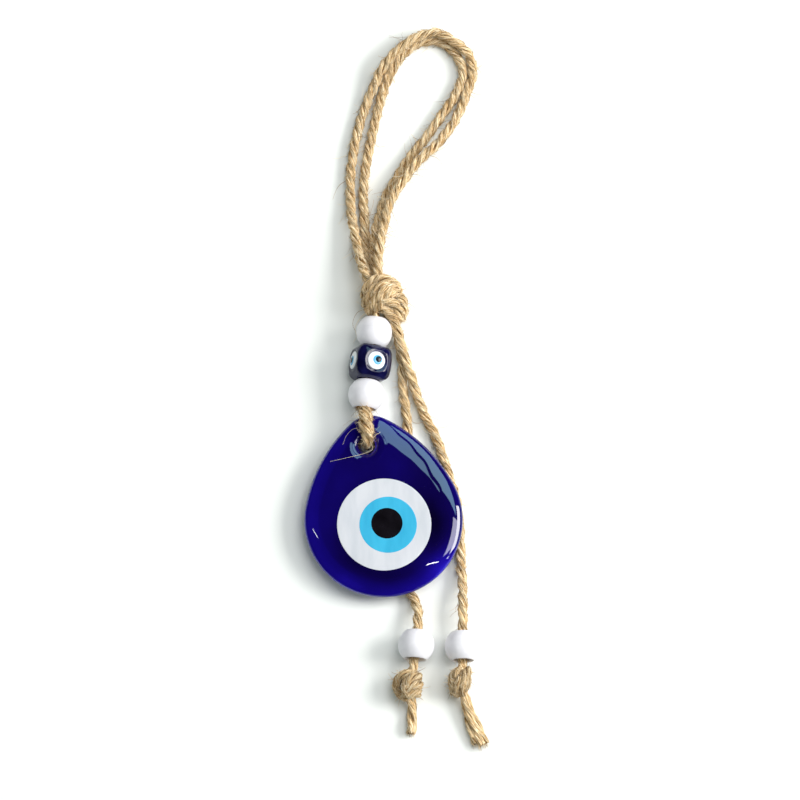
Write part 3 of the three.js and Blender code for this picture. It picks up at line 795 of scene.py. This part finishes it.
def eye_ring(name, centre, radius, hole_centre, hole_radius, lift, material, cad):
    """A disc of coloured glass whose top follows the dome, with a rounded rim and an open middle."""
    around = 160
    circle = circle_points((0, 0), 1, around)
    outer, inner = np.array(centre), np.array(hole_centre)
    points = []
    for share, down in ((1.0, -EYE_SUNK), (1.0, -0.1), (0.998, -0.03), (0.993, 0.0)):
        points.append(on_dome(outer + circle * radius * share, lift, down))
    for share in np.linspace(0.95, 0.05, 10):
        xy = (outer + circle * radius * 0.993) * share + (inner + circle * hole_radius) * (1 - share)
        points.append(on_dome(xy, lift))
    for down in (0.0, -EYE_SUNK):
        points.append(on_dome(inner + circle * hole_radius, lift, down))
    faces = grid_faces(len(points), around, closed_rows=True)
    return finish_piece(mesh_object(name, np.vstack(points), faces, material), cad, 40)


def eye_spot(name, centre, radius, lift, material, cad):
    """The solid pupil."""
    around = 96
    circle = circle_points((0, 0), 1, around)
    rows = [(0.9, -1.2), (1.0, -1.2), (1.0, -0.04), (0.985, 0.0), (0.975, 0.0), (0.6, 0.0), (0.3, 0.0)]
    points = [on_dome(np.array(centre) + circle * radius * share, lift, down) for share, down in rows]
    made = mesh_object(name, np.vstack(points), capped_faces(len(rows), around), material)
    return finish_piece(made, cad, 40)


def make_eye():
    """White, iris and pupil, each a little higher than the one before."""
    white_hole = EYE_IRIS_R - 0.05
    iris_hole = EYE_PUPIL_R - 0.05
    return [
        eye_ring("glass_eye_white", EYE, EYE_WHITE_R, IRIS, white_hole, 0.03,
                 "white_glass", "pendant_eye_white"),
        eye_ring("glass_eye_iris", IRIS, EYE_IRIS_R, PUPIL, iris_hole, 0.04,
                 "light_blue_glass", "pendant_eye_iris"),
        eye_spot("glass_eye_pupil", PUPIL, EYE_PUPIL_R, 0.05, "black_glass", "pendant_eye_pupil"),
    ]


# ---------- beads ----------
def stack_point(distance):
    """A point on the beads' axis, this far up from the foot of the lower bead."""
    return STACK_FOOT - STACK_DIR * distance


def turn_to(direction, centre, roll=0.0):
    """The matrix that takes +Y to the direction and the origin to the centre, in millimetres."""
    turn = Vector((0, 1, 0)).rotation_difference(Vector(direction).normalized()).to_matrix().to_4x4()
    return Matrix.Translation(centre) @ turn @ Matrix.Rotation(roll, 4, "Y")


def place(points, matrix):
    m = np.array(matrix)
    return np.asarray(points, float) @ m[:3, :3].T + m[:3, 3]


def bead(name, centre, direction, cad, mould_line=False):
    """A round bead with a bore and softened mouths."""
    profile = []
    lip = math.acos(BEAD_HALF / BEAD_R)
    for t in np.linspace(lip, math.pi - lip, 90 if mould_line else 44):
        r = BEAD_R
        if mould_line:
            r -= 0.07 / (1 + math.exp((1.44 - t) / 0.006))
        profile.append((r * math.sin(t), r * math.cos(t)))
    mouth = BEAD_R * math.sin(lip)
    inner = [(mouth - 0.14, BEAD_HALF - 0.02), (mouth - 0.36, BEAD_HALF - 0.22)]
    inner.append((BEAD_BORE_R, BEAD_HALF - 0.7))
    profile = inner[::-1] + profile + [(r, -y) for r, y in inner]
    around = 72
    a = np.linspace(0, 2 * np.pi, around, endpoint=False)
    points = [[r * math.sin(t), y, r * math.cos(t)] for r, y in profile for t in a]
    faces = grid_faces(len(profile), around, closed_rows=True)
    made = mesh_object(name, place(points, turn_to(direction, centre)), faces, "white_bead")
    return finish_piece(made, cad)


def rounded_block(width, length, radius, cells=26):
    """Points and faces of a block with rounded edges, its long axis on Y."""
    half = np.array([width / 2, length / 2, width / 2])
    t = np.linspace(-1, 1, cells + 1)
    t = np.sign(t) * np.abs(t) ** 0.75
    points, faces = [], []
    for axis in range(3):
        for sign in (-1, 1):
            base = len(points)
            u, v = (axis + 1) % 3, (axis + 2) % 3
            for b in t:
                for c in t:
                    p = np.zeros(3)
                    p[axis], p[u], p[v] = sign * half[axis], b * half[u], c * half[v]
                    core = np.clip(p, radius - half, half - radius)
                    away = p - core
                    points.append(core + away / np.linalg.norm(away) * radius)
            for i in range(cells):
                for j in range(cells):
                    q = [base + i * (cells + 1) + j, base + (i + 1) * (cells + 1) + j]
                    q += [q[1] + 1, q[0] + 1]
                    faces.append(q if sign > 0 else q[::-1])
    return np.array(points), faces


def merge_close(made, distance=1e-6):
    """Joins points that lie together, and turns all faces outward."""
    work = bmesh.new()
    work.from_mesh(made.data)
    bmesh.ops.remove_doubles(work, verts=work.verts, dist=distance)
    bmesh.ops.recalc_face_normals(work, faces=work.faces)
    work.to_mesh(made.data)
    work.free()


def lathe_on_face(name, profile, centre, material, matrix, around, cad):
    """A small turned piece on the cube's +Z face: profile of (radius, height above the face)."""
    a = np.linspace(0, 2 * np.pi, around, endpoint=False)
    top = CUBE_W / 2
    x, y = centre
    points = [[x + r * math.cos(t), y + r * math.sin(t), top + h] for r, h in profile for t in a]
    made = mesh_object(name, place(points, matrix), capped_faces(len(profile), around), material)
    return finish_piece(made, cad)


def cube_eye(side, face, iris, pupil):
    """The three turned pieces of one eye on the cube."""
    white = [(3.0, -0.5), (3.0, 0.10), (2.93, 0.2), (2.75, 0.28), (2.1, 0.37), (1.2, 0.43), (0.3, 0.45)]
    blue = [(1.62, 0.2), (1.62, 0.41), (1.52, 0.47), (1.2, 0.5), (0.3, 0.52)]
    dot = [(1.05, 0.3), (1.05, 0.46), (0.95, 0.56), (0.72, 0.64), (0.42, 0.69), (0.12, 0.71)]
    layers = [
        ("white", white, (0, 0), "cube_white", "white_glass", 48),
        ("iris", blue, iris, "cube_blue", "light_blue_glass", 36),
        ("pupil", dot, pupil, "black_glass", "black_glass", 28),
    ]
    return [
        lathe_on_face(f"cube_{part}_{side}", profile, at, material, face, around,
                      f"cube_eye_{part}_{side}")
        for part, profile, at, material, slot, around in layers
    ]


def make_cube():
    """The cube bead: a rounded, bored block with an eye on each of its four sides."""
    centre = stack_point(2 * BEAD_HALF + STACK_GAP + CUBE_L / 2)
    settle = turn_to(-STACK_DIR, centre, math.radians(CUBE_TURN))
    points, faces = rounded_block(CUBE_W, CUBE_L, CUBE_R)
    cube = mesh_object("cube_glass", points, faces, "navy_glass")
    merge_close(cube)
    add_boolean(cube, bore_cutter())
    flow_rings(cube)
    cube.data.transform(scale_matrix(settle))
    pieces = [finish_piece(cube, "cube_bead_glass")]
    eyes = [
        ("front", 0, (0.35, 0.2), (0.6, 0.45)),
        ("right", 90, (0.35, 0.2), (0.6, 0.45)),
        ("back", 180, (0.35, 0.2), (0.6, 0.45)),
        ("left", 270, (-0.3, -0.1), (-0.6, 0.0)),
    ]
    for side, degrees, iris, pupil in eyes:
        face = settle @ Matrix.Rotation(math.radians(degrees), 4, "Y")
        pieces += cube_eye(side, face, iris, pupil)
    return pieces


def scale_matrix(matrix):
    """The same placement for a mesh already in metres."""
    made = matrix.copy()
    made.translation = matrix.translation * MM
    return made


def flow_rings(cube):
    """The raised, rounded ring of dark glass that flowed up round each eye."""
    co = mesh_points(cube)
    for axis, other in ((0, 2), (2, 0)):
        for sign in (-1, 1):
            on = sign * co[:, axis] > CUBE_W / 2 - 0.4
            r = np.hypot(co[:, other], co[:, 1])
            bump = 0.22 * bell(r - 4.05, 0.55) - 0.1 * bell(r - 3.35, 0.3)
            co[on, axis] += sign * bump[on]
    cube.data.vertices.foreach_set("co", (co * MM).ravel())
    cube.data.update()


def make_beads():
    up = -STACK_DIR
    high = 3 * BEAD_HALF + 2 * STACK_GAP + CUBE_L
    return {
        "upper_bead": bead("bead_upper", stack_point(high), up, "upper_bead", mould_line=True),
        "lower_bead": bead("bead_lower", stack_point(BEAD_HALF), up, "lower_bead"),
        "left_tail_bead": bead("bead_left_tail", LEFT_BEAD, (0.07, 1, 0), "left_tail_bead"),
        "right_tail_bead": bead("bead_right_tail", RIGHT_BEAD, (0, 1, 0), "right_tail_bead"),
    }


# ---------- knots ----------
def seen_axes():
    """Right, up and towards the viewer, for points given as seen from the front."""
    lean = math.radians(VIEW_LEAN)
    up = Vector((0, math.cos(lean), math.sin(lean)))
    return Vector((1, 0, 0)), up, Vector((0, -math.sin(lean), math.cos(lean)))


def lump_depth(a, b, lumps):
    """How far the front of the rounded lumps, each a centre and half sizes, stands out at (a, b)."""
    best = 0.0
    for centre_a, centre_b, half_a, half_b, half_c in lumps:
        inside = 1 - ((a - centre_a) / half_a) ** 2 - ((b - centre_b) / half_b) ** 2
        best = max(best, half_c * math.sqrt(max(0.0, inside)))
    return best


def wrap(name, centre, lumps, seen, width, seed, lift=0.0, material="jute"):
    """A strand of a knot: it follows the seen points over the front of the lumps, and back behind them."""
    right, up, toward = seen_axes()
    route = []
    for side in (1, -1):
        points = seen if side > 0 else seen[::-1]
        for a, b in points:
            c = side * (lump_depth(a, b, lumps) + lift)
            p = Vector(centre) + right * a + up * b + toward * c
            p.z = max(p.z, 0.5 * width)
            route.append(tuple(p))
    return Cord(name, route, width, seed, closed=True, step=0.45, around=24, material=material)


def core_lump(name, centre, half):
    """A lump inside a knot, in jute painted dark as the shade inside it."""
    around, rows = 32, 20
    points = []
    for t in np.linspace(0.02, math.pi - 0.02, rows):
        for a in np.linspace(0, 2 * math.pi, around, endpoint=False):
            unit = (math.sin(t) * math.cos(a), math.cos(t), math.sin(t) * math.sin(a))
            points.append([middle + share * size for middle, share, size in zip(centre, unit, half)])
    faces = reversed_faces(capped_faces(rows, around))
    uv = np.array(points)[:, :2] * 0.1
    made = mesh_object(name, points, faces, "jute_core_shade", uv, np.full(len(points), 0.7))
    return made


def make_main_knot():
    """The big overhand knot: bands over the top, steep strands in the middle, a lobe at the lower right."""
    centre = (-0.7, 47.7, 7.0)
    lumps = [(0.0, 0.0, 5.5, 5.5, 5.3), (3.9, -4.2, 3.6, 4.4, 4.6)]
    strands = [
        ("top", [(-5.5, -0.6), (-4.6, 2.9), (-1.4, 5.2), (2.4, 4.8), (5.2, 2.6)], 0.2),
        ("band", [(-5.3, -3.0), (-3.6, 0.6), (-0.4, 2.7), (2.8, 2.7), (5.2, 1.2)], 0.3),
        ("steep_left", [(-4.3, -5.4), (-2.7, -2.8), (-0.3, 0.2), (2.2, 1.7)], 0.4),
        ("steep_right", [(-2.3, -5.8), (-0.8, -3.6), (1.3, -0.6), (3.5, 1.0)], 0.5),
        ("lobe_outer", [(2.0, 0.7), (5.0, 0.0), (7.0, -2.3), (7.3, -5.3), (6.4, -7.9)], 0.1),
        ("lobe_middle", [(0.7, -1.8), (3.7, -2.8), (5.7, -5.1), (5.7, -7.8)], 0.4),
        ("lobe_inner", [(-0.1, -4.2), (2.1, -5.3), (4.0, -6.9), (4.6, -8.2)], 0.2),
    ]
    # the core is a lump painted dark, standing in for the shade inside the knot
    pieces = [core_lump("knot_core", (0.2, 46.8, 7.0), (5.2, 5.6, 5.0))]
    cords = []
    for k, (name, seen, lift) in enumerate(strands):
        cords.append(wrap(f"knot_{name}", centre, lumps, seen, 3.0, 20 + k, lift))
    pieces += [cord.piece for cord in cords]
    pieces.append(fuzz("fuzz_knot", cords, 800, 1100, 120, longest=5.0))
    return pieces


LEFT_KNOT_STRANDS = [
    ("outer", [(1.6, 3.5), (-1.1, 3.4), (-3.2, 1.7), (-3.6, -0.8), (-2.4, -3.2), (-0.3, -4.2)], 0.1),
    ("inner", [(3.5, 2.4), (1.8, 2.6), (-0.2, 1.1), (-1.0, -0.9), (-0.5, -2.8)], 0.2),
    ("middle", [(-0.7, -1.2), (1.6, -0.1), (3.6, -0.4)], 0.2),
    ("lower", [(-0.2, -3.3), (1.8, -2.6), (3.3, -2.7)], 0.1),
]
RIGHT_KNOT_STRANDS = [
    ("over", [(2.6, 3.6), (1.4, 1.5), (-0.3, -0.7), (-1.8, -3.1)], 0.5),
    ("left", [(-1.8, -1.3), (-2.4, 0.9), (-1.2, 2.9), (0.9, 3.7)], 0.1),
    ("right", [(2.5, 1.5), (2.0, -0.6), (1.0, -2.6), (1.0, -3.7)], 0.2),
    ("low", [(-2.3, 0.4), (-2.0, -1.8), (-0.8, -3.6)], 0.0),
]


def make_stopper(name, centre, half, strands, seed):
    """A tight overhand knot: its strands in jute darkened as painted shade, round a core painted dark as
    shade.
    """
    lumps = [(0.0, 0.0, half[0] - 1.4, half[1] - 1.2, half[2] - 1.45)]
    pieces = [core_lump(f"{name}_core", centre, (half[0] * 0.62, half[1] * 0.68, half[2] * 0.62))]
    cords = []
    for k, (part, seen, lift) in enumerate(strands):
        cords.append(wrap(f"{name}_{part}", centre, lumps, seen, 2.9, seed + k, lift, "jute_knot_shade"))
    pieces += [cord.piece for cord in cords]
    pieces.append(fuzz(f"{name}_fuzz", cords, 260, 420, seed + 40, longest=4.5))
    return pieces


# ---------- cords ----------
def make_cords():
    """The free runs of cord, each from inside a knot or bead."""
    bight_width = [2.9, 3.2, 4.0, 4.5, 4.5, 4.2, 3.6, 3.0] + [2.4] * 10
    return {
        "outer": Cord("cord_loop_outer", OUTER_LOOP, CORD_D, 1),
        "inner": Cord("cord_loop_inner", INNER_LOOP, CORD_D, 2),
        "left": Cord("cord_left_tail", LEFT_TAIL, CORD_D, 3, pitch=14.0),
        "right": Cord("cord_right_tail", RIGHT_TAIL, CORD_D, 4, pitch=15.0),
        "bight": Cord("cord_bight", BIGHT, bight_width, 5, step=0.4, around=20),
        "left_end": Cord("cord_left_end", LEFT_END, [2.9, 3.1, 3.3, 3.4], 6, pitch=24.0),
    }


def make_right_end():
    """Three plies that have come apart below the right stopper knot."""
    ends = [
        [(25.6, -85.2, 3.8), (26.8, -89.6, 2.6), (28.0, -95.3, 1.8), (29.3, -99.6, 1.5), (30.2, -102.7, 1.4)],
        [(26.4, -85.0, 3.2), (27.9, -89.6, 2.4), (30.1, -94.8, 1.9), (32.1, -99.2, 1.6), (33.6, -102.5, 1.5)],
        [(26.0, -85.2, 4.2), (27.2, -90.0, 3.3), (29.0, -95.6, 2.6), (30.9, -100.0, 2.2), (32.1, -103.3, 2.0)],
    ]
    return [Cord(f"cord_right_end_{k}", route, [2.3, 2.5, 2.5, 2.7, 2.5], 40 + k, around=12, pitch=22.0)
            for k, route in enumerate(ends)]


def end_tuft(name, cord, count, seed):
    """Short cut fibres at the end of a cord."""
    random = np.random.default_rng(SEED + seed)
    tangent, side, other = frames_along(cord.line)
    lines = []
    for _ in range(count):
        i = len(cord.line) - random.integers(1, 5)
        angle = random.uniform(0, 2 * np.pi)
        out = math.cos(angle) * side[i] + math.sin(angle) * other[i]
        start = cord.line[i] + out * cord.width[i] * 0.45 * math.sqrt(random.random())
        way = tangent[i] + 0.35 * out * random.random()
        lines.append(free_hair(start, way, random.uniform(0.6, 2.0), 0.4, random))
    lines += [cord.laid_fibre(random) for _ in range(count)]
    return hairs_object(name, lines, random)


def strand_in_beads(name, side, cad):
    """One of the two squeezed strands inside the stacked beads."""
    top = stack_point(4 * BEAD_HALF + 2 * STACK_GAP + CUBE_L + 1.6)
    foot = stack_point(2.0)
    route = [tuple(top.lerp(foot, t) + Vector((0, 0, side * 1.3))) for t in (0, 0.33, 0.66, 1)]
    made = Cord(name, route, 2.6, 50 + side, around=10, step=0.8).piece
    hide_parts(cad)
    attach(made, "bead_strand")


def bead_fill():
    """The loose fibres that fill the lower bead's mouth round the cord."""
    random = np.random.default_rng(SEED + 130)
    foot = np.array(stack_point(0.7))
    lump = core_lump("strand_mouth", tuple(foot), (2.9, 1.1, 2.9))
    lump.data.materials[0] = MATERIALS["jute"]
    lines = []
    for _ in range(150):
        angle = random.uniform(0, 2 * np.pi)
        out = np.array([math.cos(angle), 0.0, math.sin(angle)])
        start = foot + out * random.uniform(1.4, 2.7) + np.array([0.0, -0.4, 0.0])
        way = out * random.uniform(-0.3, 0.5) + np.array([random.normal(0, 0.9), -0.35, 0.0])
        lines.append(free_hair(start, way, random.uniform(0.8, 2.4), 0.8, random))
    return [lump, hairs_object("strand_mouth_hairs", lines, random)]


def stray_hairs(name, routes, seed):
    """The few long single fibres that the photograph shows."""
    random = np.random.default_rng(SEED + seed)
    lines = [smooth_route(route, 0.5)[0] for route in routes]
    return hairs_object(name, lines, random, 0.06, 0.09)


# ---------- stage ----------
def make_floor():
    size = 3.0
    mesh = bpy.data.meshes.new("floor")
    corners = [(-size, -size, 0), (size, -size, 0), (size, size, 0), (-size, size, 0)]
    mesh.from_pydata(corners, [], [(0, 1, 2, 3)])
    mesh.materials.append(new_material("floor", (246, 249, 247), 0.9, Specular_IOR_Level=0.1))
    floor = bpy.data.objects.new("floor", mesh)
    bpy.context.scene.collection.objects.link(floor)
    floor.location.z = -0.0002


def area_light(name, place_at, aim, width, height, power, colour=(1, 1, 1)):
    data = bpy.data.lights.new(name, "AREA")
    data.shape = "RECTANGLE"
    data.size, data.size_y = width, height
    data.energy = power
    data.color = colour
    made = bpy.data.objects.new(name, data)
    bpy.context.scene.collection.objects.link(made)
    made.location = place_at
    made.rotation_mode = "QUATERNION"
    made.rotation_quaternion = (Vector(aim) - Vector(place_at)).to_track_quat("-Z", "Y")
    return made


def make_world():
    """Even light from all round. It isn't mirrored in the glass, which shows only the windows."""
    world = bpy.data.worlds.new("world")
    bpy.context.scene.world = world
    world.use_nodes = True
    background = world.node_tree.nodes["Background"]
    background.inputs["Color"].default_value = (0.93, 1.0, 0.97, 1)
    background.inputs["Strength"].default_value = 0.34
    world.cycles_visibility.glossy = False


def make_lights():
    """A key from the right, a broad light above, and what only the glass mirrors: windows and small lamps."""
    make_world()
    aim = (0.0, 0.0, 0.0)
    area_light("key", (1.15, 0.12, 0.82), aim, 0.75, 0.55, 20, (1.0, 0.985, 0.96))
    soft = area_light("overhead", (0.45, 0.25, 1.5), aim, 1.0, 1.0, 11.5, (1.0, 1.0, 1.0))
    soft.visible_glossy = False
    sky = (0.46, 0.80, 1.0)
    mirrored = [
        ("pane_left", (0.30, 0.96), 0.17, 1.25, -14, 2.6, sky),
        ("pane_right", (0.66, 0.93), 0.42, 1.25, -14, 8.0, sky),
        ("side_panel", (0.74, 0.05), 0.44, 0.36, 0, 3.8, (0.88, 0.86, 1.0)),
        ("lamp_right", (0.34, -0.11), 0.28, 0.009, -26, 0.27, (1.0, 1.0, 1.0)),
        ("lamp_left", (-0.55, 0.11), 0.22, 0.012, -14, 0.16, (1.0, 1.0, 1.0)),
    ]
    for name, (x, y), width, height, turn, power, colour in mirrored:
        light = area_light(name, (x, y, 1.0), (x, y, 0.0), width, height, power, colour)
        light.rotation_mode = "XYZ"
        light.rotation_euler = (0, 0, math.radians(turn))
        light.visible_diffuse = False
    area_light("lamp_front", (0.85, -0.30, 0.75), aim, 0.05, 0.05, 0.5)


def make_camera():
    """The photograph's view: 76.5 degrees above the floor, from the pendant's end, with a long lens."""
    data = bpy.data.cameras.new("camera")
    data.sensor_width = 36.0
    data.lens = 420.0
    camera = bpy.data.objects.new("camera", data)
    bpy.context.scene.collection.objects.link(camera)
    scale = 0.33 * MM
    distance = 800 * data.lens / data.sensor_width * scale
    elevation = math.radians(76.5)
    target = Vector((5.41, 12.6, 4.0)) * MM
    back = Vector((0, -math.cos(elevation), math.sin(elevation)))
    camera.location = target + back * distance
    camera.rotation_mode = "QUATERNION"
    camera.rotation_quaternion = (-back).to_track_quat("-Z", "Y")
    data.clip_start, data.clip_end = 0.05, 50
    bpy.context.scene.camera = camera


# ---------- putting it together ----------
REPLACED_CORDS = {
    "outer": "loop_cord_outer",
    "inner": "loop_cord_inner",
    "bight": "pendant_bight",
    "left": "left_tail_cord",
    "right": "right_tail_cord",
}
# Which two bodies a cord's bend joins, and from where to where on Y, in metres.
JOINS = {
    "outer": ("knot", "hanging_loop", 0.053, 0.062),
    "inner": ("knot", "hanging_loop", 0.053, 0.062),
    "left": ("knot", "left_tail", 0.041, 0.034),
    "right": ("knot", "right_tail", 0.041, 0.034),
    "bight": ("bead_strand", "bight", 0.0105, 0.0075),
}


def ride_all(pieces, body):
    for piece in pieces:
        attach(piece, body)


def build():
    make_materials()
    make_floor()
    make_lights()
    make_camera()
    bpy.context.scene.view_settings.view_transform = "Standard"

    ride_all([make_pendant(), *make_eye()], "pendant")
    beads = make_beads()
    for body, piece in beads.items():
        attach(piece, body)
    ride_all(make_cube(), "cube_bead")

    knot = make_main_knot()
    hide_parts("main_knot")
    ride_all(knot, "knot")

    left_knot = make_stopper("left_knot", (8.1, -83.4, 4.75), (4.9, 5.2, 4.7), LEFT_KNOT_STRANDS, 60)
    right_knot = make_stopper("right_knot", (25.0, -82.4, 4.3), (4.1, 5.1, 4.3), RIGHT_KNOT_STRANDS, 70)
    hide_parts("left_stopper_knot")
    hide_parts("right_stopper_knot")

    cords = make_cords()
    right_end = make_right_end()
    tufts = [end_tuft("tuft_left_end", cords["left_end"], 40, 110)]
    tufts += [end_tuft(f"tuft_right_end_{k}", end, 25, 111 + k) for k, end in enumerate(right_end)]
    left_end = cords["left_end"].piece
    ends = [end.piece for end in right_end]
    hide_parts("left_tail_end")
    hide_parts("right_tail_end")
    ride_all([*left_knot, left_end, tufts[0]], "left_tail")
    ride_all([*right_knot, *ends, *tufts[1:]], "right_tail")
    strand_in_beads("strand_front", 1, "bead_cord_front")
    strand_in_beads("strand_back", -1, "bead_cord_back")
    ride_all(bead_fill(), "bead_strand")
    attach(stray_hairs("hairs_by_hole", HOLE_HAIRS, 131), "bight")
    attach(stray_hairs("hairs_by_bead", BEAD_HAIRS, 132), "knot")

    for key, cad in REPLACED_CORDS.items():
        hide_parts(cad)
    fuzz_for = {
        "outer": fuzz("fuzz_outer", [cords["outer"]], 560, 1000, 101, 9.0, 0.2),
        "inner": fuzz("fuzz_inner", [cords["inner"]], 520, 950, 102, 9.0, 0.2),
        "left": fuzz("fuzz_left", [cords["left"]], 280, 500, 103),
        "right": fuzz("fuzz_right", [cords["right"]], 320, 560, 104),
        "bight": fuzz("fuzz_bight", [cords["bight"]], 300, 420, 105, longest=5, until=0.5),
    }
    for key, (a, b, start, end) in JOINS.items():
        for piece in (cords[key].piece, fuzz_for[key]):
            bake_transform(piece)


build()
